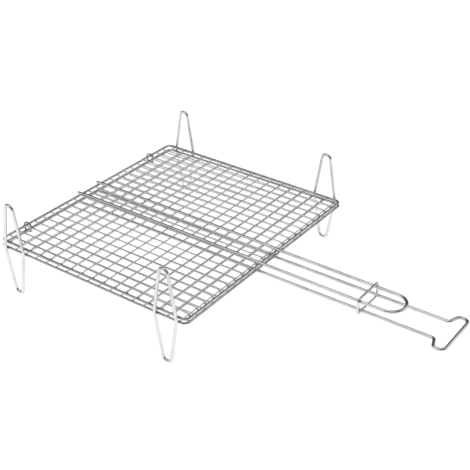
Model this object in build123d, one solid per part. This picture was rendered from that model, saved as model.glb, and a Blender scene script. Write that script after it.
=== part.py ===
from build123d import *

import os
from math import asin, atan2, cos, degrees, sin, sqrt

# A hinged double grill basket of plated steel wire. Two rimmed wire grids close on the food,
# two loose links hinge them along one edge, a long handle stands out of the opposite edge,
# and a sliding ring holds the handles together.
#
# Millimetres. +X runs along the handle, +Y along the hinge edge, +Z up. The origin lies on the
# surface that the feet stand on, under the middle of the whole object.

# ---- Wire diameters -------------------------------------------------------------------------
rim_wire = 3.0
mesh_wire = 1.8
handle_wire = 4.0
foot_wire = 4.0
link_wire = 2.0
lock_wire = 3.0

# ---- Grids: rims and mesh -------------------------------------------------------------------
basket_length = 300.0  # along X, between the rim's centre lines
basket_width = 340.0  # along Y, between the rim's centre lines
rim_corner_radius = 7.0
hinge_spacing = 7.6  # between the centre lines of the two rims at the hinge, basket shut
front_spacing = 5.4  # the same at the handles, where the shut lid leans in
lid_side_clearance = 1.0  # by which the lid's rim is narrower than the base's on each side
base_cross_count = 17  # places for wires along Y in the base; the lid's lie between them
lid_cross_count = 16
cross_pitch = 17.75  # spacing of the wires along Y
cross_shift = -1.8  # along X, of the middle of those wires from the rim's middle
long_pitch = 14.6  # spacing of the wires along X
long_edge_margin = 5.0  # least distance of a long wire from the rim beside it
base_cross_rise = 0.3  # flat run of the cross wires, outward from their rim's plane
lid_cross_rise = 1.65
cross_ramp = 6.2  # horizontal length over which a cross wire comes back to its rim
long_ramp = 5.0  # the same for a long wire
mesh_bend_radius = 5.0
weld_gap = 0.02  # left between wires that are welded to each other

# ---- Handles --------------------------------------------------------------------------------
handle_cells = 3  # long-wire spacings between the two legs of a handle
handle_side_gap = 0.1  # between a leg and the long wire beside it
lid_handle_reach = 190.0  # from the rim to the centre line of the handle's end
base_handle_reach = 255.0
handle_stub = 3.6  # by which the legs run past the hinge-side rim
front_joggle_start = 15.5  # distances inward from the rim over which a leg steps down
front_joggle_end = 5.5
rear_joggle_start = 12.0
rear_joggle_end = 4.5
joggle_radius = 30.0
grip_half_width = 34.0  # of the wide end of the base's handle, centre line
grip_depth = 13.0  # straight sides of that end, along X
grip_flare = 5.0  # how far the flare leans along X
grip_flare_radius = 5.0
grip_corner_radius = 7.0

# ---- Feet -----------------------------------------------------------------------------------
foot_half_height = 64.0  # centre line, from the foot's middle to the tip
base_rim_drop = 3.0  # of the base's rim below the middle of the feet
foot_half_width = 16.3  # centre line, at the rim
foot_tip_half_width = 5.5
foot_tip_radius = 6.4
foot_waist_radius = 9.0
foot_inset = 27.0  # from the end of the rim to the foot's middle, along X

# ---- Hinge links and lock ring --------------------------------------------------------------
link_clearance = 0.4  # between a link and the rims inside it
link_cells = 8  # long-wire spacings from the middle of the hinge edge to a link, plus a half
lock_side_clearance = 0.8
lock_height_clearance = 0.6
lock_corner_radius = 4.0
lock_reach = 142.0  # from the handle-side rim to the ring, basket locked

# ---- Places worked out from them ------------------------------------------------------------
half_length = basket_length / 2
half_width = basket_width / 2
foot_middle_z = foot_half_height + foot_wire / 2
base_rim_z = foot_middle_z - base_rim_drop
lid_rim_z = base_rim_z + hinge_spacing  # at the hinge
lid_lean = asin((hinge_spacing - front_spacing) / basket_length)
layer_step = mesh_wire + weld_gap  # from the cross wires out to the long ones

long_count = int((basket_width - 2 * long_edge_margin) / long_pitch) + 1
long_ys = [(i - (long_count - 1) / 2) * long_pitch for i in range(long_count)]

leg_offset = mesh_wire / 2 + handle_wire / 2 + handle_side_gap
first_leg_wire = (long_count - 1 - handle_cells) // 2
near_leg_y = long_ys[first_leg_wire] + leg_offset
far_leg_y = long_ys[first_leg_wire + handle_cells] - leg_offset
handle_y = (near_leg_y + far_leg_y) / 2
crossing_rise = rim_wire / 2 + handle_wire / 2 + weld_gap

rear_x = -half_length
front_x = half_length
stub_x = rear_x - handle_stub
grip_x = front_x + base_handle_reach
link_radius = (hinge_spacing + rim_wire + link_wire) / 2 + link_clearance
rear_end_x = min(stub_x, rear_x - link_radius - link_wire / 2)
middle_x = (rear_end_x + grip_x + handle_wire / 2) / 2  # middle of the whole object along X


def wire_along(path, diameter):
    """A round wire with the given centre line."""
    start = Plane(origin=path @ 0, z_dir=path % 0)
    return sweep(sections=start * Circle(diameter / 2), path=path)


def outward(side, rise):
    """A height: rise measured from a rim's plane, up for the lid (side 1), down for the base (-1).
    The lid is drawn level, at its height at the hinge."""
    return lid_rim_z + rise if side > 0 else base_rim_z - rise


def cross_rise(side):
    """How far outward from its rim's plane a grid's cross wires lie."""
    return lid_cross_rise if side > 0 else base_cross_rise


def cross_places(count):
    """The places along X of a grid's cross wires, which keep clear of the links at the hinge."""
    places = [cross_shift + (i - (count - 1) / 2) * cross_pitch for i in range(count)]
    first = rear_x + link_radius + (link_wire + mesh_wire) / 2 + link_clearance
    return [x for x in places if x > first]


def rim(side, width):
    """A rim: one wire bent to a rectangle with round corners, its ends butt-welded."""
    outline = RectangleRounded(basket_length, width, rim_corner_radius).wire()
    return wire_along(Pos(0, 0, outward(side, 0)) * outline, rim_wire)


def rim_reach(half_run, half_across, across):
    """For a wire that meets the rim at the given distance across from the middle: the distance
    from the middle to the rim's centre line, and how far short of it the wire's end stops."""
    into_corner = max(0.0, abs(across) - (half_across - rim_corner_radius))
    outer_edge = into_corner + mesh_wire / 2 if into_corner else 0.0
    line = sqrt(rim_corner_radius**2 - into_corner**2)
    surface = sqrt((rim_corner_radius - rim_wire / 2) ** 2 - outer_edge**2)
    return half_run - rim_corner_radius + line, line - surface + weld_gap


def mesh_outline(reach, setback, rise, ramp):
    """Half of a mesh wire's line as (distance from the middle, rise): it runs flat, then ramps
    down towards the rim's centre line and stops at the rim's surface."""
    fall = atan2(rise, ramp)
    return [(reach - ramp, rise), (reach - setback * cos(fall), setback * sin(fall))]


def mesh_path(half_line, place):
    """The whole wire's centre line. place turns (distance, rise) into a point."""
    points = [place(-d, r) for d, r in reversed(half_line)] + [place(d, r) for d, r in half_line]
    return FilletPolyline(*points, radius=mesh_bend_radius)


def long_wire(side, y, rim_half_width):
    """One mesh wire along X, the outer layer of its grid."""
    reach, setback = rim_reach(half_length, rim_half_width, y)
    half_line = mesh_outline(reach, setback, cross_rise(side) + layer_step, long_ramp)
    return wire_along(mesh_path(half_line, lambda d, r: (d, y, outward(side, r))), mesh_wire)


def cross_wire(side, x, rim_half_width):
    """One mesh wire along Y, the inner layer of its grid."""
    reach, setback = rim_reach(rim_half_width, half_length, x)
    half_line = mesh_outline(reach, setback, cross_rise(side), cross_ramp)
    return wire_along(mesh_path(half_line, lambda d, r: (x, d, outward(side, r))), mesh_wire)


def leg_line(side, y, end_x):
    """The centre line of a handle's leg: over the rear rim, along the mesh, over the front rim."""
    on_rim = outward(side, crossing_rise)
    on_mesh = outward(side, cross_rise(side) + mesh_wire / 2 + handle_wire / 2 + weld_gap)
    return [
        (stub_x, y, on_rim),
        (rear_x + rear_joggle_end, y, on_rim),
        (rear_x + rear_joggle_start, y, on_mesh),
        (front_x - front_joggle_start, y, on_mesh),
        (front_x - front_joggle_end, y, on_rim),
        (end_x, y, on_rim),
    ]


def lid_handle():
    """The short handle: two legs joined by a round end."""
    end_x = front_x + lid_handle_reach
    there = leg_line(1, near_leg_y, end_x)
    back = leg_line(1, far_leg_y, end_x)[::-1]
    end_radius = 0.49 * (far_leg_y - near_leg_y)
    radii = [joggle_radius] * 4 + [end_radius] * 2 + [joggle_radius] * 4
    return wire_along(FilletPolyline(*there, *back, radius=radii), handle_wire)


def base_handle():
    """The long handle: its legs flare to a wide cross-bar, which is its grip and hangs on a hook."""
    neck_x = grip_x - grip_depth - grip_flare
    z = outward(-1, crossing_rise)
    there = leg_line(-1, near_leg_y, neck_x)
    back = leg_line(-1, far_leg_y, neck_x)[::-1]
    grip = [
        (neck_x + grip_flare, handle_y - grip_half_width, z),
        (grip_x, handle_y - grip_half_width, z),
        (grip_x, handle_y + grip_half_width, z),
        (neck_x + grip_flare, handle_y + grip_half_width, z),
    ]
    legs = [joggle_radius] * 4
    flare = [grip_flare_radius] * 2
    radii = legs + flare + [grip_corner_radius] * 2 + flare + legs
    return wire_along(FilletPolyline(*there, *grip, *back, radius=radii), handle_wire)


def foot(x, y):
    """A foot: a closed wire diamond on the rim's outside, the same above and below it, so that
    the basket stands either way up."""
    tip, waist = foot_half_height, foot_half_width
    corners = [(foot_tip_half_width, tip), (waist, 0), (foot_tip_half_width, -tip)]
    corners += [(-a, b) for a, b in reversed(corners)]
    radii = [foot_tip_radius, foot_waist_radius, foot_tip_radius] * 2
    points = [(x + a, y, foot_middle_z + b) for a, b in corners]
    return wire_along(FilletPolyline(*points, radius=radii, close=True), foot_wire)


def hinge_link(y):
    """A loose round link that both rims turn in."""
    ring = Solid.make_torus(link_radius, link_wire / 2)
    return Pos(rear_x, y, base_rim_z + hinge_spacing / 2) * Rot(90, 0, 0) * ring


def lock_ring():
    """A rectangular wire ring around all four legs. The lid's legs lean towards the base's, so it
    grips harder the nearer it is pushed to the basket."""
    x = front_x + lock_reach
    low = outward(-1, crossing_rise)
    high = lid_rim_z + crossing_rise * cos(lid_lean) - (x - rear_x) * sin(lid_lean)
    half_across = (far_leg_y - near_leg_y) / 2 + (handle_wire + lock_wire) / 2 + lock_side_clearance
    half_tall = (high - low) / 2 + (handle_wire + lock_wire) / 2 + lock_height_clearance
    place = Plane(origin=(x, handle_y, (low + high) / 2), x_dir=(0, 1, 0), z_dir=(1, 0, 0))
    outline = RectangleRounded(2 * half_across, 2 * half_tall, lock_corner_radius).wire()
    return wire_along(place * outline, lock_wire)


def grid(name, side, width, cross_count):
    """The rim and mesh wires of one grid."""
    pieces = {f"{name}_rim": rim(side, width)}
    for number, x in enumerate(cross_places(cross_count), start=1):
        pieces[f"{name}_cross_wire_{number:02d}"] = cross_wire(side, x, width / 2)
    pieces[f"{name}_long_wires"] = Compound(children=[long_wire(side, y, width / 2) for y in long_ys])
    return pieces


def leaned(piece):
    """A piece of the lid, turned down about the hinge-side rim until the basket is shut."""
    hinge = Pos(rear_x, 0, lid_rim_z)
    return hinge * Rot(0, degrees(lid_lean), 0) * hinge.inverse() * piece


def feet():
    """The four feet, welded to the outside of the base's rim."""
    x = half_length - foot_inset
    y = half_width + rim_wire / 2 + foot_wire / 2 + weld_gap
    return {
        "foot_rear_near": foot(-x, -y),
        "foot_rear_far": foot(-x, y),
        "foot_front_near": foot(x, -y),
        "foot_front_far": foot(x, y),
    }


link_y = (link_cells + 0.5) * long_pitch
lid_width = basket_width - 2 * lid_side_clearance
lid = {**grid("lid", 1, lid_width, lid_cross_count), "lid_handle": lid_handle()}
pieces = {
    **grid("base", -1, basket_width, base_cross_count),
    "base_handle": base_handle(),
    **{node: leaned(piece) for node, piece in lid.items()},
    **feet(),
    "hinge_link_near": hinge_link(-link_y),
    "hinge_link_far": hinge_link(link_y),
    "lock_ring": lock_ring(),
}

os.makedirs("parts", exist_ok=True)
for node, piece in pieces.items():
    export_step(Pos(-middle_x, 0, 0) * piece, f"parts/{node}.step")
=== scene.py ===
"""Looks of a hinged double grill basket made of bright plated steel wire.

Two rimmed wire grids close on the food. Two loose links hinge them, four diamond feet stand the
basket on a surface, and a sliding ring holds the two handles together. Every wire is drawn here
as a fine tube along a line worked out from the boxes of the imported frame's nodes and the named
bends below, with the marks that making it leaves: spot-weld beads where wires meet, heat-dulled
plating round them, a butt-weld collar in each rim and in the ring, and the lines of wire drawing.

Metres, in the frame's own axes: +X along the handles, +Y along the hinge edge, +Z up.
"""

import logging
import math
from dataclasses import dataclass, field
from enum import Enum

import bpy
import numpy as np
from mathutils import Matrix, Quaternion, Vector

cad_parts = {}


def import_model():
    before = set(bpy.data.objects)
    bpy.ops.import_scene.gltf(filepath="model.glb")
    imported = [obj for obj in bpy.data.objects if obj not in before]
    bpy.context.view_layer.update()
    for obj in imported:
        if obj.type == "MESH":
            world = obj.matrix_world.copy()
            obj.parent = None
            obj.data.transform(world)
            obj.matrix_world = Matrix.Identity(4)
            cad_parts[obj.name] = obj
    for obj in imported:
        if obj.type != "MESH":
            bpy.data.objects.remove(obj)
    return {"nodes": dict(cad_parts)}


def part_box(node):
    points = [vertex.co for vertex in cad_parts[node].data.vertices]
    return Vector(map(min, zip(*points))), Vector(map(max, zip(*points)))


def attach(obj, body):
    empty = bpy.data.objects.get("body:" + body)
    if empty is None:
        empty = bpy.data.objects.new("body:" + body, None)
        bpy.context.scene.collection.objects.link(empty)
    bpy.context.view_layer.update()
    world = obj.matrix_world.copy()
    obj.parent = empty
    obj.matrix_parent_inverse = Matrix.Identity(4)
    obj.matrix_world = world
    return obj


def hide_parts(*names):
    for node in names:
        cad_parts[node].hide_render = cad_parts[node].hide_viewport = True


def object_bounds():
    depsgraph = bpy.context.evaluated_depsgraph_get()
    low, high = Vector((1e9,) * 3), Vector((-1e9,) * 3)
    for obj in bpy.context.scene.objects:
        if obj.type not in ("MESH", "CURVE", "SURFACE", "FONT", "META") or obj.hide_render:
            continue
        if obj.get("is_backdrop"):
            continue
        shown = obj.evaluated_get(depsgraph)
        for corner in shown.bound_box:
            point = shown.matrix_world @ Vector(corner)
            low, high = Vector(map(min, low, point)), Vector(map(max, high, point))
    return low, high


log = logging.getLogger("grill_basket")

Triple = tuple[float, float, float]
Colour = Triple
MM = 0.001
ARC_STEP = math.radians(8.0)
SEED = 383
WAVES = (1, 2, 4, 7)  # whole waves over a wire's length
WAVE_FALL = 0.8  # power by which the shorter waves are the smaller
HEAT = "heat"  # vertex attribute: 1 at a weld, 0 on untouched plating
RUN_MAP = "wire_run"  # UV map: metres along the wire and round it


class Body(Enum):
    """The four moving bodies of the frame."""

    BASE = "base"
    LID = "lid"
    LINKS = "links"
    LOCK = "lock"


class Tip(Enum):
    """How a wire's free end is finished: (distance in, share of radius) of each closing ring.

    Both are shares of the wire's radius, from the full section to the end.
    """

    SHEARED = ((0.16, 1.0), (0.05, 0.95), (0.0, 0.84))
    DOMED = ((0.85, 1.0), (0.6, 0.93), (0.34, 0.76), (0.13, 0.5), (0.03, 0.24))


# ---------------------------------------------------------------------------- wire lines


def unit(vector: np.ndarray) -> np.ndarray:
    """The vector scaled to length one."""
    return vector / np.linalg.norm(vector)


def rounded_line(corners: list, radii: list[float], closed: bool = False) -> np.ndarray:
    """A line through corners, each replaced by a tangent arc.

    Args:
        corners: The corner points.
        radii: A bend radius for each corner that is bent.
        closed: Whether the line runs back to its first corner.

    Returns:
        The line's points, one row each.
    """
    points = np.asarray(corners, float)
    count = len(points)
    bent = range(count) if closed else range(1, count - 1)
    line = [] if closed else [points[0]]
    for radius, index in zip(radii, bent):
        here = points[index]
        back = unit(points[index - 1] - here)
        ahead = unit(points[(index + 1) % count] - here)
        turn = math.pi - math.acos(float(np.clip(back @ ahead, -1, 1)))
        centre = here + unit(back + ahead) * radius / math.cos(turn / 2)
        spoke = here + back * radius * math.tan(turn / 2) - centre
        axis = unit(np.cross(-back, ahead))
        steps = max(2, math.ceil(turn / ARC_STEP))
        for angle in np.linspace(0, turn, steps + 1):
            line.append(centre + spoke * math.cos(angle) + np.cross(axis, spoke) * math.sin(angle))
    if not closed:
        line.append(points[-1])
    return np.array(line)


def subdivided(line: np.ndarray, longest: float, closed: bool) -> np.ndarray:
    """The same line with its long runs split evenly.

    Args:
        line: The line's points.
        longest: The longest run that stays whole.
        closed: Whether the last point runs on to the first.

    Returns:
        The finer line.
    """
    ends = np.roll(line, -1, axis=0) if closed else line[1:]
    starts = line if closed else line[:-1]
    finer = []
    for start, end in zip(starts, ends):
        steps = max(1, math.ceil(np.linalg.norm(end - start) / longest))
        shares = np.arange(steps)[:, None] / steps
        finer.append(start + (end - start) * shares)
    if not closed:
        finer.append(line[-1:])
    return np.concatenate(finer)


def run_lengths(line: np.ndarray) -> np.ndarray:
    """Distance of each point from the line's start, measured along it."""
    steps = np.linalg.norm(np.diff(line, axis=0), axis=1)
    return np.concatenate([[0.0], np.cumsum(steps)])


def wavered(line: np.ndarray, amount: float, seed: int) -> np.ndarray:
    """The line with the slight waver of a wire that was straightened, none at its two ends.

    Args:
        line: The line's points.
        amount: How far the middle may wander, in metres.
        seed: Chooses the waver.

    Returns:
        The wavering line.
    """
    rng = np.random.default_rng(seed)
    along = run_lengths(line)
    share = along / along[-1]
    calm = np.sin(np.pi * share)[:, None]
    drift = np.zeros_like(line)
    for waves in WAVES:
        phase = rng.uniform(0, 2 * np.pi, 3)
        size = rng.normal(0, 1, 3) / waves**WAVE_FALL
        drift += np.sin(2 * np.pi * waves * share[:, None] + phase) * size
    return line + drift * calm * amount * 0.5


def gathered(line: np.ndarray, spots: np.ndarray, spread: float) -> np.ndarray:
    """How near each point of a line is to any of the spots, from 1 on a spot down to 0.

    Args:
        line: The line's points.
        spots: The spots, one row each; there may be none.
        spread: The distance at which the value falls to 1/e.

    Returns:
        A value for each point.
    """
    if len(spots) == 0:
        return np.zeros(len(line))
    gaps = np.linalg.norm(line[:, None, :] - np.asarray(spots)[None, :, :], axis=2).min(axis=1)
    return np.exp(-((gaps / spread) ** 2))


# ---------------------------------------------------------------------------- mesh building


@dataclass
class Skin:
    """Vertices and faces of part of a piece, with what its finish reads."""

    points: np.ndarray
    faces: list[tuple[int, ...]]
    runs: list[tuple[float, float]]  # one for each corner of each face
    heat: np.ndarray

    @staticmethod
    def joined(skins: list["Skin"]) -> "Skin":
        """One skin that holds all the given ones."""
        faces: list[tuple[int, ...]] = []
        runs: list[tuple[float, float]] = []
        first = 0
        for skin in skins:
            faces += [tuple(corner + first for corner in face) for face in skin.faces]
            runs += skin.runs
            first += len(skin.points)
        points = np.concatenate([skin.points for skin in skins])
        return Skin(points, faces, runs, np.concatenate([skin.heat for skin in skins]))

    def as_object(self, name: str, material: bpy.types.Material) -> bpy.types.Object:
        """A smooth-shaded object of this skin.

        Args:
            name: The piece's name.
            material: Its finish.

        Returns:
            The new object, linked to the scene.
        """
        mesh = bpy.data.meshes.new(name)
        mesh.from_pydata(self.points.tolist(), [], self.faces)
        mesh.polygons.foreach_set("use_smooth", [True] * len(self.faces))
        layer = mesh.uv_layers.new(name=RUN_MAP)
        layer.uv.foreach_set("vector", np.array(self.runs, np.float32).ravel())
        attribute = mesh.attributes.new(HEAT, "FLOAT", "POINT")
        attribute.data.foreach_set("value", self.heat.astype(np.float32))
        mesh.materials.append(material)
        mesh.update()
        piece = bpy.data.objects.new(name, mesh)
        bpy.context.scene.collection.objects.link(piece)
        return piece


@dataclass
class Wire:
    """A round wire along a line, closed to a hoop or with two finished ends."""

    line: np.ndarray
    diameter: float
    closed: bool = False
    tip: Tip = Tip.SHEARED
    sides: int = 14
    heat: np.ndarray | None = None
    swell: np.ndarray | None = None  # share by which the radius grows at each point

    def _section_frames(self) -> tuple[np.ndarray, np.ndarray]:
        """Two directions across the wire at each point, carried along it without twist."""
        if self.closed:
            ahead = np.roll(self.line, -1, axis=0) - np.roll(self.line, 1, axis=0)
        else:
            ahead = np.gradient(self.line, axis=0)
        ahead /= np.linalg.norm(ahead, axis=1)[:, None]
        least = np.eye(3)[int(np.argmin(np.abs(ahead[0])))]
        across = unit(np.cross(ahead[0], least))
        first = []
        for direction in ahead:
            across = unit(across - direction * (across @ direction))
            first.append(across)
        first = np.array(first)
        return first, np.cross(ahead, first)

    def _rings(self) -> tuple[np.ndarray, np.ndarray, np.ndarray]:
        """Centre, radius and source point of each ring, with the closing rings of the ends."""
        radius = np.full(len(self.line), self.diameter / 2)
        if self.swell is not None:
            radius = radius * (1 + self.swell)
        centres, source = self.line, np.arange(len(self.line))
        if self.closed:
            return centres, radius, source
        start, end = unit(self.line[1] - self.line[0]), unit(self.line[-2] - self.line[-1])
        rings = np.array(self.tip.value)
        depth = rings[:, :1] * self.diameter / 2
        head = (self.line[0] + start * depth)[::-1]
        tail = self.line[-1] + end * depth
        centres = np.concatenate([head, self.line[1:-1], tail])
        closing = rings[:, 1] * self.diameter / 2
        radius = np.concatenate([closing[::-1], radius[1:-1], closing])
        last = len(self.line) - 1
        source = np.concatenate([[0] * len(rings), source[1:-1], [last] * len(rings)]).astype(int)
        return centres, radius, source

    def skin(self) -> Skin:
        """The wire's surface."""
        first, second = self._section_frames()
        centres, radius, source = self._rings()
        angles = np.linspace(0, 2 * np.pi, self.sides, endpoint=False)
        spokes = (
            np.cos(angles)[None, :, None] * first[source][:, None, :]
            + np.sin(angles)[None, :, None] * second[source][:, None, :]
        )
        points = (centres[:, None, :] + spokes * radius[:, None, None]).reshape(-1, 3)
        along = run_lengths(centres)
        round_about = np.linspace(0, np.pi * self.diameter, self.sides + 1)
        count, sides = len(centres), self.sides
        faces: list[tuple[int, ...]] = []
        runs: list[tuple[float, float]] = []
        for ring in range(count if self.closed else count - 1):
            following = (ring + 1) % count
            here = along[ring]
            closing = float(np.linalg.norm(centres[0] - centres[ring]))
            there = along[following] if following else here + closing
            for side in range(sides):
                beside = (side + 1) % sides
                faces.append((
                    ring * sides + side,
                    ring * sides + beside,
                    following * sides + beside,
                    following * sides + side,
                ))
                low, high = float(round_about[side]), float(round_about[side + 1])
                runs += [(here, low), (here, high), (there, high), (there, low)]
        if not self.closed:
            faces.append(tuple(range(sides))[::-1])
            faces.append(tuple(range((count - 1) * sides, count * sides)))
            runs += [(0.0, 0.0)] * (2 * sides)
        warmth = np.zeros(len(self.line)) if self.heat is None else self.heat
        return Skin(points, faces, runs, np.repeat(warmth[source], sides))


@dataclass
class WeldBeads:
    """Small beads of squeezed-out steel where wires are welded to each other."""

    rows: int = 5
    columns: int = 9
    lumpiness: float = 0.09
    size_range: tuple[float, float] = (0.86, 1.12)
    beads: list[tuple[np.ndarray, np.ndarray, Triple]] = field(default_factory=list)

    def add(self, centre: tuple, normal: tuple, along: tuple, sizes: Triple) -> None:
        """Adds a bead.

        Args:
            centre: Where it sits.
            normal: The direction from one wire to the other.
            along: The direction of one of the wires.
            sizes: Its half-sizes along the wire, across it, and along the normal.
        """
        third = unit(np.asarray(normal, float))
        first = np.asarray(along, float)
        first = unit(first - third * (first @ third))
        axes = np.stack([first, np.cross(third, first), third])
        self.beads.append((np.asarray(centre, float), axes, sizes))

    def skin(self, seed: int) -> Skin:
        """All the beads, each a little different.

        Args:
            seed: Chooses their lumps and sizes.

        Returns:
            Their surface.
        """
        rng = np.random.default_rng(seed)
        polar = np.linspace(0, np.pi, self.rows + 2)[1:-1]
        turn = np.linspace(0, 2 * np.pi, self.columns, endpoint=False)
        rings = [
            (math.sin(p) * math.cos(t), math.sin(p) * math.sin(t), math.cos(p)) for p in polar for t in turn
        ]
        ball = np.array([(0.0, 0.0, 1.0), *rings, (0.0, 0.0, -1.0)])
        faces = self._ball_faces()
        points, all_faces = [], []
        for number, (centre, axes, sizes) in enumerate(self.beads):
            lumps = 1 + rng.normal(0, self.lumpiness, len(ball))
            grown = np.asarray(sizes) * rng.uniform(*self.size_range)
            points.append(centre + (ball * lumps[:, None] * grown) @ axes)
            all_faces += [tuple(corner + number * len(ball) for corner in face) for face in faces]
        corners = sum(len(face) for face in all_faces)
        placed = np.concatenate(points)
        return Skin(placed, all_faces, [(0.0, 0.0)] * corners, np.ones(len(placed)))

    def _ball_faces(self) -> list[tuple[int, ...]]:
        """Faces of a ball whose first and last points are its poles."""
        columns, last = self.columns, self.rows * self.columns + 1
        faces: list[tuple[int, ...]] = []
        for column in range(columns):
            beside = (column + 1) % columns
            faces.append((0, 1 + column, 1 + beside))
            for row in range(self.rows - 1):
                upper, lower = 1 + row * columns, 1 + (row + 1) * columns
                faces.append((upper + column, lower + column, lower + beside, upper + beside))
            lower = 1 + (self.rows - 1) * columns
            faces.append((last, lower + beside, lower + column))
        return faces


# ---------------------------------------------------------------------------- finishes


class NodeBench:
    """Makes and links shader nodes."""

    def __init__(self, tree: bpy.types.NodeTree) -> None:
        """Takes the tree to work on and empties it."""
        self.tree = tree
        tree.nodes.clear()

    def node(self, kind: str, settings: dict | None = None, **inputs: object) -> bpy.types.Node:
        """Adds a node.

        Args:
            kind: The node's type, without its "ShaderNode" prefix.
            settings: Its own properties.
            **inputs: Values or output sockets by input name, with _ for a space.

        Returns:
            The new node.
        """
        node = self.tree.nodes.new("ShaderNode" + kind)
        for key, value in (settings or {}).items():
            setattr(node, key, value)
        for key, value in inputs.items():
            self.feed(node.inputs[key.replace("_", " ")], value)
        return node

    def feed(self, socket: bpy.types.NodeSocket, value: object) -> None:
        """Links an output to the socket, or sets its value."""
        if isinstance(value, bpy.types.NodeSocket):
            self.tree.links.new(value, socket)
        else:
            socket.default_value = value

    def mixed(self, share: object, first: object, second: object) -> bpy.types.NodeSocket:
        """A colour between two, by share."""
        node = self.tree.nodes.new("ShaderNodeMix")
        node.data_type = "RGBA"
        self.feed(node.inputs[0], share)
        self.feed(node.inputs[6], first)
        self.feed(node.inputs[7], second)
        return node.outputs[2]

    def maths(self, operation: str, *values: object) -> bpy.types.NodeSocket:
        """The result of a maths node."""
        node = self.tree.nodes.new("ShaderNodeMath")
        node.operation = operation
        for socket, value in zip(node.inputs, values):
            self.feed(socket, value)
        return node.outputs[0]

    def ranged(
        self, value: object, low: float, high: float, to_low: float, to_high: float
    ) -> bpy.types.NodeSocket:
        """The value moved smoothly from one range to another, and held inside it."""
        node = self.node("MapRange", {"interpolation_type": "SMOOTHSTEP"})
        names = ("Value", "From Min", "From Max", "To Min", "To Max")
        for name, number in zip(names, (value, low, high, to_low, to_high)):
            self.feed(node.inputs[name], number)
        return node.outputs["Result"]


@dataclass(frozen=True)
class PlatedSteel:
    """Bright zinc plating on drawn steel wire.

    Attributes:
        label: The material's name.
        tone: The plating's colour.
        cloud: Its colour where it is duller, in soft patches.
        scorch: Its colour where welding heated it.
        edge: Its tint at a grazing angle.
        polish: The roughness of the brightest parts.
        haze: The roughness of the dullest parts.
        cloud_scale: Patches to the metre.
        line_depth: The height of the drawing lines.
        grain_depth: The height of the plating's grain.
        grain_scale: Grains to the metre.
    """

    label: str
    tone: Colour = (0.80, 0.81, 0.82)
    cloud: Colour = (0.70, 0.71, 0.73)
    scorch: Colour = (0.46, 0.45, 0.44)
    edge: Colour = (0.55, 0.56, 0.58)
    polish: float = 0.17
    haze: float = 0.32
    cloud_scale: float = 38.0
    line_depth: float = 2.2e-6
    grain_depth: float = 3.0e-6
    grain_scale: float = 2600.0

    def material(self) -> bpy.types.Material:
        """The finish as a material."""
        made = bpy.data.materials.new(self.label)
        made.use_nodes = True
        bench = NodeBench(made.node_tree)
        place = bench.node("TexCoord").outputs["Object"]
        heat = bench.node("Attribute", {"attribute_name": HEAT}).outputs["Fac"]
        run = bench.node("UVMap", {"uv_map": RUN_MAP}).outputs["UV"]

        patches = bench.node("TexNoise", Vector=place, Scale=self.cloud_scale, Detail=3.0, Roughness=0.6)
        patchy = bench.ranged(patches.outputs["Fac"], 0.38, 0.66, 0.0, 1.0)
        stretched = bench.node("Mapping", Vector=run, Scale=(70.0, 5200.0, 1.0)).outputs["Vector"]
        lines = bench.node("TexNoise", Vector=stretched, Scale=1.0, Detail=2.0, Roughness=0.55)
        grain = bench.node("TexNoise", Vector=place, Scale=self.grain_scale, Detail=2.0, Roughness=0.6)
        blotch = bench.node("TexNoise", Vector=place, Scale=420.0, Detail=2.0, Roughness=0.55)

        scorched = bench.maths("MULTIPLY", heat, bench.ranged(blotch.outputs["Fac"], 0.25, 0.7, 0.45, 1.0))
        plated = bench.mixed(patchy, (*self.tone, 1.0), (*self.cloud, 1.0))
        colour = bench.mixed(scorched, plated, (*self.scorch, 1.0))

        worn = bench.ranged(lines.outputs["Fac"], 0.3, 0.7, -0.04, 0.05)
        dull = bench.ranged(patches.outputs["Fac"], 0.35, 0.7, self.polish, self.haze)
        rough = bench.maths("ADD", bench.maths("ADD", dull, worn), bench.maths("MULTIPLY", scorched, 0.22))

        drawn = bench.node("Bump", Height=lines.outputs["Fac"], Distance=self.line_depth, Strength=1.0)
        grained = bench.node(
            "Bump",
            Height=grain.outputs["Fac"],
            Distance=self.grain_depth,
            Strength=1.0,
            Normal=drawn.outputs["Normal"],
        )
        surface = bench.node(
            "BsdfPrincipled",
            Base_Color=colour,
            Metallic=1.0,
            Roughness=rough,
            Specular_Tint=(*self.edge, 1.0),
            Normal=grained.outputs["Normal"],
        )
        bench.node("OutputMaterial", Surface=surface.outputs["BSDF"])
        return made


@dataclass(frozen=True)
class WeldSteel:
    """The dull, oxide-darkened steel of a spot weld under thin plating."""

    label: str
    tone: Colour = (0.56, 0.55, 0.55)
    soot: Colour = (0.34, 0.33, 0.32)
    polish: float = 0.34
    haze: float = 0.62
    pit_depth: float = 2.2e-5

    def material(self) -> bpy.types.Material:
        """The finish as a material."""
        made = bpy.data.materials.new(self.label)
        made.use_nodes = True
        bench = NodeBench(made.node_tree)
        place = bench.node("TexCoord").outputs["Object"]
        burnt = bench.node("TexNoise", Vector=place, Scale=900.0, Detail=3.0, Roughness=0.65)
        pits = bench.node("TexVoronoi", Vector=place, Scale=2300.0)
        share = bench.ranged(burnt.outputs["Fac"], 0.35, 0.62, 0.0, 1.0)
        bumped = bench.node("Bump", Height=pits.outputs["Distance"], Distance=self.pit_depth, Strength=1.0)
        surface = bench.node(
            "BsdfPrincipled",
            Base_Color=bench.mixed(share, (*self.tone, 1.0), (*self.soot, 1.0)),
            Metallic=1.0,
            Roughness=bench.ranged(burnt.outputs["Fac"], 0.3, 0.7, self.polish, self.haze),
            Normal=bumped.outputs["Normal"],
        )
        bench.node("OutputMaterial", Surface=surface.outputs["BSDF"])
        return made


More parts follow.
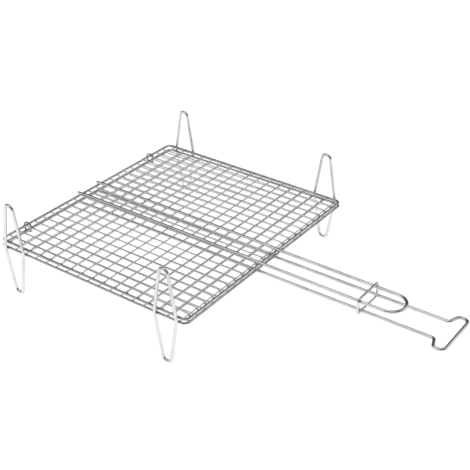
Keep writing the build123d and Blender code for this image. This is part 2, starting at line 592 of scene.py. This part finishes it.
@dataclass(frozen=True)
class Finishes:
    """Every finish of the basket, made once."""

    rim: bpy.types.Material
    mesh: bpy.types.Material
    handle: bpy.types.Material
    foot: bpy.types.Material
    link: bpy.types.Material
    lock: bpy.types.Material
    weld: bpy.types.Material

    @classmethod
    def mixed_up(cls) -> "Finishes":
        """Makes the materials."""
        return cls(
            # The rim's tone and cloud are set darker than the handle's plating as painted shade, standing in
            # for the dark reflections along the near rims.
            rim=PlatedSteel("plated_rim_wire_painted_shade", tone=(0.56, 0.57, 0.58), cloud=(0.44, 0.44, 0.46)).material(),
            mesh=PlatedSteel(
                "plated_mesh_wire", tone=(0.86, 0.86, 0.88), cloud=(0.76, 0.76, 0.78), polish=0.26, haze=0.42
            ).material(),
            handle=PlatedSteel("plated_handle_wire").material(),
            foot=PlatedSteel("plated_foot_wire", cloud_scale=30.0).material(),
            link=PlatedSteel(
                "plated_link_wire", tone=(0.30, 0.30, 0.31), cloud=(0.20, 0.20, 0.21), polish=0.2, haze=0.4
            ).material(),
            lock=PlatedSteel("plated_lock_wire", cloud_scale=55.0).material(),
            weld=WeldSteel("welded_steel").material(),
        )


# ---------------------------------------------------------------------------- the basket


@dataclass(frozen=True)
class Span:
    """The box of a frame node, read corner by corner."""

    low: np.ndarray
    high: np.ndarray

    @classmethod
    def of(cls, node: str) -> "Span":
        """The box of the named node."""
        low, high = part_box(node)
        return cls(np.array(low), np.array(high))

    @property
    def middle(self) -> np.ndarray:
        """Its centre."""
        return (self.low + self.high) / 2

    @property
    def half(self) -> np.ndarray:
        """Half its size along each axis."""
        return (self.high - self.low) / 2


def settle(piece: bpy.types.Object, body: Body, slot: str, *nodes: str) -> bpy.types.Object:
    """Fixes a finished piece to its body, hides the frame nodes it replaces and logs it.

    Args:
        piece: The piece, in place.
        body: The body it moves with.
        slot: The material slot of its wire; not used.
        *nodes: The frame nodes it replaces.

    Returns:
        The piece.
    """
    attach(piece, body.value)
    if nodes:
        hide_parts(*nodes)
    log.info("%s rides on %s, %d faces", piece.name, body.value, len(piece.data.polygons))
    return piece


@dataclass
class Grid:
    """A rim with its two layers of mesh wire: the base, or the lid turned over it.

    Heights are given as rises, outward from the rim's plane, away from the food.
    """

    body: Body
    finishes: Finishes
    rim_wire: float = 3.0 * MM
    mesh_wire: float = 1.8 * MM
    corner_radius: float = 7.0 * MM
    cross_ramp: float = 6.2 * MM
    long_ramp: float = 5.0 * MM
    long_pitch: float = 14.6 * MM
    bend_radius: float = 5.0 * MM
    long_run: float = 7.0 * MM
    waver: float = 0.14 * MM
    heat_spread: float = 1.7 * MM
    collar_growth: float = 0.10
    collar_half_length: float = 1.3 * MM
    collar_place: float = 0.62  # share of the half width, along the handle's side
    collar_heat_spread: float = 5.0 * MM
    end_heat: float = 0.75
    end_heat_spread: float = 2.4 * MM
    crossing_bead: Triple = (0.98 * MM, 0.98 * MM, 0.42 * MM)
    end_bead: Triple = (1.05 * MM, 1.3 * MM, 1.12 * MM)
    end_bead_inset: float = 0.1 * MM

    def __post_init__(self) -> None:
        """Reads the places from the frame."""
        name = self.body.value
        self.side = 1.0 if self.body is Body.LID else -1.0
        self.seed = SEED + (1000 if self.body is Body.LID else 0)
        rim, base_rim = Span.of(f"{name}_rim"), Span.of("base_rim")
        self.middle_x = float(base_rim.middle[0])
        self.half_length = float(base_rim.half[0]) - self.rim_wire / 2
        self.half_width = float(rim.half[1]) - self.rim_wire / 2
        self.fall = self._lid_fall(rim) if self.body is Body.LID else 0.0
        hinge_edge = rim.high[2] if self.body is Body.LID else rim.low[2]
        self.rim_z = float(hinge_edge) - self.side * self.rim_wire / 2
        self.cross_nodes = sorted(node for node in NODES if node.startswith(f"{name}_cross_wire_"))
        self.cross_xs = [float(Span.of(node).middle[0]) - self.middle_x for node in self.cross_nodes]
        self.cross_rise = self._rise_of(self.cross_nodes[0], self.cross_xs[0])
        self.long_rise = self.cross_rise + self.mesh_wire
        self.long_ys = self._long_places(Span.of(f"{name}_long_wires"))

    def _lid_fall(self, rim: Span) -> float:
        """The small angle by which the shut lid leans down from the hinge towards the handle."""
        drop = 2 * float(rim.half[2]) - self.rim_wire
        return math.asin(max(0.0, drop) / (2 * self.half_length))

    def _rise_of(self, node: str, x: float) -> float:
        """How far outward from the rim's plane the cross wire at x lies."""
        box = Span.of(node)
        outer = float(box.high[2] if self.body is Body.LID else box.low[2])
        sunk = (self.half_length + x) * math.sin(self.fall)
        return (self.side * (outer - self.rim_z) - self.mesh_wire / 2 + sunk) / math.cos(self.fall)

    def _long_places(self, long: Span) -> list[float]:
        """The wires along X, evenly spread across their node's width."""
        half = float(long.half[1]) - self.mesh_wire / 2
        count = round(2 * half / self.long_pitch) + 1
        return [float(y) for y in np.linspace(-half, half, count)]

    def point(self, x: float, y: float, rise: float) -> np.ndarray:
        """A point of the grid from its place beside the rim's middle and its rise."""
        reach, height = self.half_length + x, self.side * rise
        along = reach * math.cos(self.fall) + height * math.sin(self.fall)
        up = -reach * math.sin(self.fall) + height * math.cos(self.fall)
        return np.array([self.middle_x - self.half_length + along, y, self.rim_z + up])

    def _meeting(self, half_run: float, half_across: float, across: float) -> tuple[float, float]:
        """Distance from the middle to the rim's centre line, and from there back to the wire's end."""
        into_corner = max(0.0, abs(across) - (half_across - self.corner_radius))
        line = math.sqrt(self.corner_radius**2 - into_corner**2)
        surface = math.sqrt((self.corner_radius - self.rim_wire / 2) ** 2 - into_corner**2)
        return half_run - self.corner_radius + line, line - surface

    def _mesh_line(self, reach: float, setback: float, rise: float, ramp: float, place: object) -> np.ndarray:
        """A mesh wire's line: flat over the food, then down to the rim's surface at both ends."""
        fall = math.atan2(rise, ramp)
        half = [(reach - ramp, rise), (reach - setback * math.cos(fall), setback * math.sin(fall))]
        ends = [(-d, r) for d, r in reversed(half)] + half
        return rounded_line([place(d, r) for d, r in ends], [self.bend_radius] * 2)

    def cross_line(self, x: float) -> np.ndarray:
        """The line of the wire along Y at x, in the inner layer."""
        reach, setback = self._meeting(self.half_width, self.half_length, x)

        def place(distance: float, rise: float) -> np.ndarray:
            return self.point(x, distance, rise)

        return self._mesh_line(reach, setback, self.cross_rise, self.cross_ramp, place)

    def long_line(self, y: float) -> np.ndarray:
        """The line of the wire along X at y, in the outer layer."""
        reach, setback = self._meeting(self.half_length, self.half_width, y)

        def place(distance: float, rise: float) -> np.ndarray:
            return self.point(distance, y, rise)

        return self._mesh_line(reach, setback, self.long_rise, self.long_ramp, place)

    def _mesh_skin(self, line: np.ndarray, spots: list, seed: int) -> Skin:
        """A mesh wire's surface, dulled by heat at its ends and at the given spots."""
        finer = wavered(subdivided(line, self.long_run, False), self.waver, seed)
        hot = gathered(finer, np.array([*spots, line[0], line[-1]]), self.heat_spread)
        return Wire(finer, self.mesh_wire, sides=12, heat=hot).skin()

    def build_cross_wires(self) -> None:
        """Builds the wires along Y."""
        for number, (node, x) in enumerate(zip(self.cross_nodes, self.cross_xs)):
            spots = [self.point(x, y, self.cross_rise) for y in self.long_ys]
            skin = self._mesh_skin(self.cross_line(x), spots, self.seed + 100 + number)
            settle(skin.as_object(f"{node}_drawn", self.finishes.mesh), self.body, "mesh_wire", node)

    def build_long_wires(self) -> None:
        """Builds the wires along X."""
        skins = []
        for number, y in enumerate(self.long_ys):
            spots = [self.point(x, y, self.long_rise) for x in self.cross_xs]
            skins.append(self._mesh_skin(self.long_line(y), spots, self.seed + 200 + number))
        node = f"{self.body.value}_long_wires"
        piece = Skin.joined(skins).as_object(f"{node}_drawn", self.finishes.mesh)
        settle(piece, self.body, "mesh_wire", node)

    def build_rim(self) -> None:
        """Builds the rim, with a butt-weld collar and the heat of every wire welded to it."""
        a, b = self.half_length, self.half_width
        corners = [self.point(x, y, 0.0) for x, y in ((-a, -b), (a, -b), (a, b), (-a, b))]
        line = subdivided(rounded_line(corners, [self.corner_radius] * 4, closed=True), 4.0 * MM, True)
        seam = self.point(a, self.collar_place * b, 0.0)
        lines = [self.cross_line(x) for x in self.cross_xs] + [self.long_line(y) for y in self.long_ys]
        ends = [end for wire in lines for end in (wire[0], wire[-1])]
        swell = self.collar_growth * gathered(line, np.array([seam]), self.collar_half_length)
        hot = np.maximum(
            self.end_heat * gathered(line, np.array(ends), self.end_heat_spread),
            gathered(line, np.array([seam]), self.collar_heat_spread),
        )
        skin = Wire(line, self.rim_wire, closed=True, sides=18, heat=hot, swell=swell).skin()
        node = f"{self.body.value}_rim"
        settle(skin.as_object(f"{node}_drawn", self.finishes.rim), self.body, "rim_wire", node)

    def build_beads(self) -> None:
        """Builds the spot welds of the mesh and of its ends on the rim."""
        crossings, ends = WeldBeads(), WeldBeads(rows=6, columns=10)
        between = (self.cross_rise + self.long_rise) / 2
        out = (0.0, 0.0, self.side)
        for x in self.cross_xs:
            for y in self.long_ys:
                crossings.add(self.point(x, y, between), out, (1, 0, 0), self.crossing_bead)
        for line in [self.cross_line(x) for x in self.cross_xs] + [self.long_line(y) for y in self.long_ys]:
            for end, before in ((line[0], line[1]), (line[-1], line[-2])):
                inward = unit(before - end)
                ends.add(end + inward * self.end_bead_inset, out, inward, self.end_bead)
        name = self.body.value
        for label, beads, seed in (("mesh_weld_beads", crossings, 11), ("rim_weld_beads", ends, 12)):
            piece = beads.skin(SEED + seed).as_object(f"{name}_{label}", self.finishes.weld)
            settle(piece, self.body, "mesh_wire")

    def build(self) -> None:
        """Builds the whole grid."""
        self.build_rim()
        self.build_cross_wires()
        self.build_long_wires()
        self.build_beads()


@dataclass
class Handle:
    """A handle bent from one wire, whose two legs lie welded along its grid."""

    grid: Grid
    finish: bpy.types.Material
    wire: float = 4.0 * MM
    front_joggle_start: float = 15.5 * MM
    front_joggle_end: float = 5.5 * MM
    rear_joggle_start: float = 12.0 * MM
    rear_joggle_end: float = 4.5 * MM
    joggle_radius: float = 30.0 * MM
    waver: float = 0.22 * MM
    grip_depth: float = 13.0 * MM
    grip_flare: float = 5.0 * MM
    grip_flare_radius: float = 5.0 * MM
    grip_corner_radius: float = 7.0 * MM
    weld_heat: float = 0.7
    weld_heat_spread: float = 3.1 * MM
    mesh_bead: Triple = (1.5 * MM, 1.1 * MM, 0.5 * MM)
    rim_bead: Triple = (2.0 * MM, 1.7 * MM, 0.6 * MM)

    def __post_init__(self) -> None:
        """Reads the legs' places from the frame."""
        short, long = Span.of("lid_handle"), Span.of("base_handle")
        self.leg_ys = (float(short.low[1]) + self.wire / 2, float(short.high[1]) - self.wire / 2)
        self.crossing_rise = (self.grid.rim_wire + self.wire) / 2
        self.leg_rise = self.grid.cross_rise + (self.grid.mesh_wire + self.wire) / 2
        self.stub_x = float(long.low[0]) - self.grid.middle_x
        self.reach = {
            Body.LID: float(short.high[0]) - self.wire / 2 - self.grid.middle_x,
            Body.BASE: float(long.high[0]) - self.wire / 2 - self.grid.middle_x,
        }[self.grid.body]
        self.grip_half_width = float(long.half[1]) - self.wire / 2
        self.node = f"{self.grid.body.value}_handle"

    def _leg(self, y: float, end_x: float) -> list[np.ndarray]:
        """Corners of a leg: over the rear rim, down on the mesh, over the front rim."""
        rear, front = -self.grid.half_length, self.grid.half_length
        low, high = self.crossing_rise, self.leg_rise
        places = (
            (self.stub_x, low),
            (rear + self.rear_joggle_end, low),
            (rear + self.rear_joggle_start, high),
            (front - self.front_joggle_start, high),
            (front - self.front_joggle_end, low),
            (end_x, low),
        )
        return [self.grid.point(x, y, rise) for x, rise in places]

    def line(self) -> np.ndarray:
        """The handle's centre line."""
        near, far = self.leg_ys
        joggles = [self.joggle_radius] * 4
        if self.grid.body is Body.LID:
            there, back = self._leg(near, self.reach), self._leg(far, self.reach)[::-1]
            radii = joggles + [0.49 * (far - near)] * 2 + joggles
            return rounded_line([*there, *back], radii)
        neck = self.reach - self.grip_depth - self.grip_flare
        there, back = self._leg(near, neck), self._leg(far, neck)[::-1]
        middle = (near + far) / 2
        places = (
            (neck + self.grip_flare, middle - self.grip_half_width),
            (self.reach, middle - self.grip_half_width),
            (self.reach, middle + self.grip_half_width),
            (neck + self.grip_flare, middle + self.grip_half_width),
        )
        grip = [self.grid.point(x, y, self.crossing_rise) for x, y in places]
        flare = [self.grip_flare_radius] * 2
        radii = joggles + flare + [self.grip_corner_radius] * 2 + flare + joggles
        return rounded_line([*there, *grip, *back], radii)

    def _weld_spots(self) -> tuple[list[np.ndarray], list[np.ndarray]]:
        """Where the legs touch the mesh, and where they touch the rim."""
        on_mesh = self.grid.cross_rise + self.grid.mesh_wire / 2
        on_rim = self.grid.rim_wire / 2
        flat = self.grid.half_length - self.front_joggle_start
        under = [x for x in self.grid.cross_xs if abs(x) < flat]
        mesh = [self.grid.point(x, y, on_mesh) for y in self.leg_ys for x in under]
        ends = (-self.grid.half_length, self.grid.half_length)
        return mesh, [self.grid.point(x, y, on_rim) for y in self.leg_ys for x in ends]

    def build(self) -> None:
        """Builds the handle and its welds."""
        mesh, rim = self._weld_spots()
        line = wavered(subdivided(self.line(), 5.0 * MM, False), self.waver, self.grid.seed + 31)
        hot = self.weld_heat * gathered(line, np.array(mesh + rim), self.weld_heat_spread)
        skin = Wire(line, self.wire, tip=Tip.DOMED, sides=24, heat=hot).skin()
        settle(skin.as_object(f"{self.node}_bent", self.finish), self.grid.body, "handle_wire", self.node)
        beads = WeldBeads(rows=6, columns=12)
        out = (0.0, 0.0, self.grid.side)
        for spot in mesh:
            beads.add(spot, out, (0, 1, 0), self.mesh_bead)
        for spot in rim:
            beads.add(spot, out, (0, 1, 0), self.rim_bead)
        piece = beads.skin(SEED + 41).as_object(f"{self.node}_weld_beads", self.grid.finishes.weld)
        settle(piece, self.grid.body, "handle_wire")


@dataclass
class Foot:
    """A closed wire diamond on the outside of the base's rim."""

    node: str
    finishes: Finishes
    rim_z: float
    wire: float = 4.0 * MM
    half_width: float = 16.3 * MM
    tip_half_width: float = 5.5 * MM
    tip_radius: float = 6.4 * MM
    waist_radius: float = 9.0 * MM
    weld_inset: float = 0.5 * MM
    weld_heat: float = 0.9
    weld_heat_spread: float = 4.0 * MM
    seam_place: tuple[float, float] = (0.75, -0.35)  # shares of the half width and half height
    seam_heat: float = 0.5
    seam_heat_spread: float = 3.0 * MM
    rim_bead: Triple = (1.9 * MM, 1.7 * MM, 0.55 * MM)

    def build(self) -> None:
        """Builds the foot and its two welds."""
        box = Span.of(self.node)
        middle, tall = box.middle, float(box.half[2]) - self.wire / 2
        corners = [(self.tip_half_width, tall), (self.half_width, 0.0), (self.tip_half_width, -tall)]
        corners += [(-across, up) for across, up in reversed(corners)]
        radii = [self.tip_radius, self.waist_radius, self.tip_radius] * 2
        line = rounded_line([middle + (across, 0.0, up) for across, up in corners], radii, closed=True)
        line = subdivided(line, 3.0 * MM, True)
        towards_rim = -math.copysign(1.0, middle[1])
        slope = (self.half_width - self.tip_half_width) / tall
        drop = float(middle[2]) - self.rim_z
        reach = self.half_width - slope * drop - self.weld_inset
        touch = self.wire / 2 * towards_rim
        spots = [np.array([middle[0] + sign * reach, middle[1] + touch, self.rim_z]) for sign in (-1, 1)]
        seam = middle + (self.seam_place[0] * self.half_width, 0.0, self.seam_place[1] * tall)
        nearest = line[int(np.argmin(np.linalg.norm(line - seam, axis=1)))]
        hot = np.maximum(
            self.weld_heat * gathered(line, np.array(spots), self.weld_heat_spread),
            self.seam_heat * gathered(line, nearest[None, :], self.seam_heat_spread),
        )
        skin = Wire(line, self.wire, closed=True, sides=22, heat=hot).skin()
        settle(skin.as_object(f"{self.node}_bent", self.finishes.foot), Body.BASE, "foot_wire", self.node)
        beads = WeldBeads(rows=6, columns=12)
        for spot in spots:
            beads.add(spot, (0, towards_rim, 0), (1, 0, 0), self.rim_bead)
        piece = beads.skin(SEED + len(self.node)).as_object(f"{self.node}_weld_beads", self.finishes.weld)
        settle(piece, Body.BASE, "foot_wire")


@dataclass
class HingeLink:
    """A loose ring bent from thin wire round both rims, its two cut ends nearly meeting."""

    node: str
    finish: bpy.types.Material
    wire: float = 2.0 * MM
    opening: float = math.radians(5.0)
    opening_at: float = math.radians(-38.0)  # from the hinge side, below the rims

    def build(self) -> None:
        """Builds the link."""
        box = Span.of(self.node)
        radius = float(box.half[2]) - self.wire / 2
        start = math.pi + self.opening_at + self.opening / 2
        angles = np.linspace(start, start + 2 * math.pi - self.opening, 64)
        line = np.array([box.middle + radius * np.array([math.cos(a), 0.0, math.sin(a)]) for a in angles])
        skin = Wire(line, self.wire, sides=16).skin()
        settle(skin.as_object(f"{self.node}_bent", self.finish), Body.LINKS, "link_wire", self.node)


@dataclass
class LockRing:
    """A rectangular ring of wire that slides along all four legs."""

    node: str
    finish: bpy.types.Material
    wire: float = 3.0 * MM
    corner_radius: float = 4.0 * MM
    seam_place: float = 0.3  # share of the half length, along the lower long side
    seam_spread: float = 1.0 * MM
    seam_heat: float = 0.8
    seam_growth: float = 0.06

    def build(self) -> None:
        """Builds the ring, with its butt weld in the lower long side."""
        box = Span.of(self.node)
        across, tall = float(box.half[1]) - self.wire / 2, float(box.half[2]) - self.wire / 2
        corners = [(-across, -tall), (across, -tall), (across, tall), (-across, tall)]
        places = [box.middle + (0.0, y, z) for y, z in corners]
        line = subdivided(rounded_line(places, [self.corner_radius] * 4, closed=True), 1.5 * MM, True)
        seam = box.middle + (0.0, self.seam_place * across, -tall)
        near_seam = gathered(line, seam[None, :], self.seam_spread)
        hot, swell = self.seam_heat * near_seam, self.seam_growth * near_seam
        skin = Wire(line, self.wire, closed=True, sides=20, heat=hot, swell=swell).skin()
        settle(skin.as_object(f"{self.node}_bent", self.finish), Body.LOCK, "lock_wire", self.node)


# ---------------------------------------------------------------------------- studio


@dataclass(frozen=True)
class Glow:
    """A soft patch of light in the studio's surroundings, as a large diffuser gives.

    Attributes:
        azimuth: Degrees round from the -Y side towards +X.
        elevation: Degrees above the horizon.
        inner: Degrees from its middle over which it has its full strength.
        outer: Degrees from its middle at which it ends.
        strength: Its radiance.
    """

    azimuth: float
    elevation: float
    inner: float
    outer: float
    strength: float

    def direction(self) -> Vector:
        """The unit vector towards it."""
        a, e = math.radians(self.azimuth), math.radians(self.elevation)
        return Vector((math.sin(a) * math.cos(e), -math.cos(a) * math.cos(e), math.sin(e)))


@dataclass
class Studio:
    """A pale, softly glowing floor under light from diffusers, with dim gaps between them."""

    floor_half: float = 30.0
    floor_tone: float = 0.35
    floor_glow: float = 0.92
    backdrop: float = 1.0
    gap: float = 0.05
    key_size: float = 1.6
    key_height: float = 1.9
    key_place: tuple[float, float] = (-0.2, 0.1)
    key_power: float = 6.0
    glows: tuple[Glow, ...] = (
        Glow(azimuth=-40, elevation=35, inner=12, outer=34, strength=0.8),
        Glow(azimuth=140, elevation=35, inner=12, outer=34, strength=0.8),
        Glow(azimuth=0, elevation=90, inner=10, outer=36, strength=0.45),
    )

    def build_floor(self) -> None:
        """Builds the floor."""
        half = self.floor_half
        mesh = bpy.data.meshes.new("floor")
        corners = [(-half, -half, 0), (half, -half, 0), (half, half, 0), (-half, half, 0)]
        mesh.from_pydata(corners, [], [(0, 1, 2, 3)])
        made = bpy.data.materials.new("pale_floor")
        made.use_nodes = True
        bench = NodeBench(made.node_tree)
        surface = bench.node(
            "BsdfPrincipled",
            Base_Color=(self.floor_tone, self.floor_tone, self.floor_tone, 1.0),
            Roughness=0.9,
            Specular_IOR_Level=0.1,
            Emission_Color=(1.0, 1.0, 1.0, 1.0),
            Emission_Strength=self.floor_glow,
        )
        bench.node("OutputMaterial", Surface=surface.outputs["BSDF"])
        mesh.materials.append(made)
        floor = bpy.data.objects.new("floor", mesh)
        bpy.context.scene.collection.objects.link(floor)
        floor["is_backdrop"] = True

    def build_surroundings(self) -> None:
        """Builds the world: dim, with the glows, and pale where it is seen directly."""
        world = bpy.data.worlds.new("studio")
        world.use_nodes = True
        bpy.context.scene.world = world
        bench = NodeBench(world.node_tree)
        towards = bench.node("TexCoord").outputs["Generated"]
        total: object = self.gap
        for glow in self.glows:
            facing = bench.node("VectorMath", {"operation": "DOT_PRODUCT"})
            bench.feed(facing.inputs[0], towards)
            bench.feed(facing.inputs[1], glow.direction())
            edge, full = math.cos(math.radians(glow.outer)), math.cos(math.radians(glow.inner))
            shine = bench.ranged(facing.outputs["Value"], edge, full, 0.0, glow.strength)
            total = bench.maths("ADD", total, shine)
        seen = bench.node("LightPath").outputs["Is Camera Ray"]
        direct = bench.maths("MULTIPLY", seen, self.backdrop)
        bounced = bench.maths("MULTIPLY", bench.maths("SUBTRACT", 1.0, seen), total)
        strength = bench.maths("ADD", direct, bounced)
        light = bench.node("Background", Color=(1.0, 1.0, 1.0, 1.0), Strength=strength)
        bench.node("OutputWorld", Surface=light.outputs["Background"])

    def build_key(self) -> None:
        """Builds the large overhead lamp."""
        lamp = bpy.data.lights.new("key", "AREA")
        lamp.shape, lamp.size, lamp.energy = "SQUARE", self.key_size, self.key_power
        holder = bpy.data.objects.new("key", lamp)
        holder.location = (*self.key_place, self.key_height)
        bpy.context.scene.collection.objects.link(holder)

    def build(self) -> None:
        """Builds the studio."""
        self.build_floor()
        self.build_surroundings()
        self.build_key()
        bpy.context.scene.view_settings.view_transform = "Standard"


@dataclass(frozen=True)
class Viewpoint:
    """The camera: where it stands round its target, and how long its lens is."""

    azimuth: float = 36.0
    elevation: float = 30.95
    roll: float = -0.29
    distance: float = 1.2527
    lens: float = 74.52
    sensor: float = 36.0
    offset: Triple = (-0.0391, 0.0136, 0.003)  # of the target, from the middle of the object

    def build(self, middle: Vector) -> None:
        """Builds the camera.

        Args:
            middle: The middle of the object's box.
        """
        data = bpy.data.cameras.new("camera")
        data.lens, data.sensor_width = self.lens, self.sensor
        camera = bpy.data.objects.new("camera", data)
        bpy.context.scene.collection.objects.link(camera)
        a, e = math.radians(self.azimuth), math.radians(self.elevation)
        back = Vector((math.sin(a) * math.cos(e), -math.cos(a) * math.cos(e), math.sin(e)))
        camera.location = middle + Vector(self.offset) + back * self.distance
        camera.rotation_mode = "QUATERNION"
        upright = (-back).to_track_quat("-Z", "Y")
        camera.rotation_quaternion = upright @ Quaternion((0, 0, 1), math.radians(self.roll))
        bpy.context.scene.camera = camera


NODES: list[str] = []


def main() -> None:
    """Builds the basket, the studio and the camera."""
    logging.basicConfig(level=logging.INFO, format="%(name)s: %(message)s")
    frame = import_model()
    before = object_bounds()
    NODES.extend(frame["nodes"])
    finishes = Finishes.mixed_up()
    for body, handle in ((Body.BASE, finishes.handle), (Body.LID, finishes.handle)):
        grid = Grid(body, finishes)
        grid.build()
        Handle(grid, handle).build()
    rim_z = float(Span.of("base_rim").middle[2])
    for node in sorted(name for name in NODES if name.startswith("foot_")):
        Foot(node, finishes, rim_z).build()
    for node in sorted(name for name in NODES if name.startswith("hinge_link_")):
        HingeLink(node, finishes.link).build()
    LockRing("lock_ring", finishes.lock).build()
    Studio().build()
    Viewpoint().build((before[0] + before[1]) / 2)


if __name__ == "__main__":
    main()
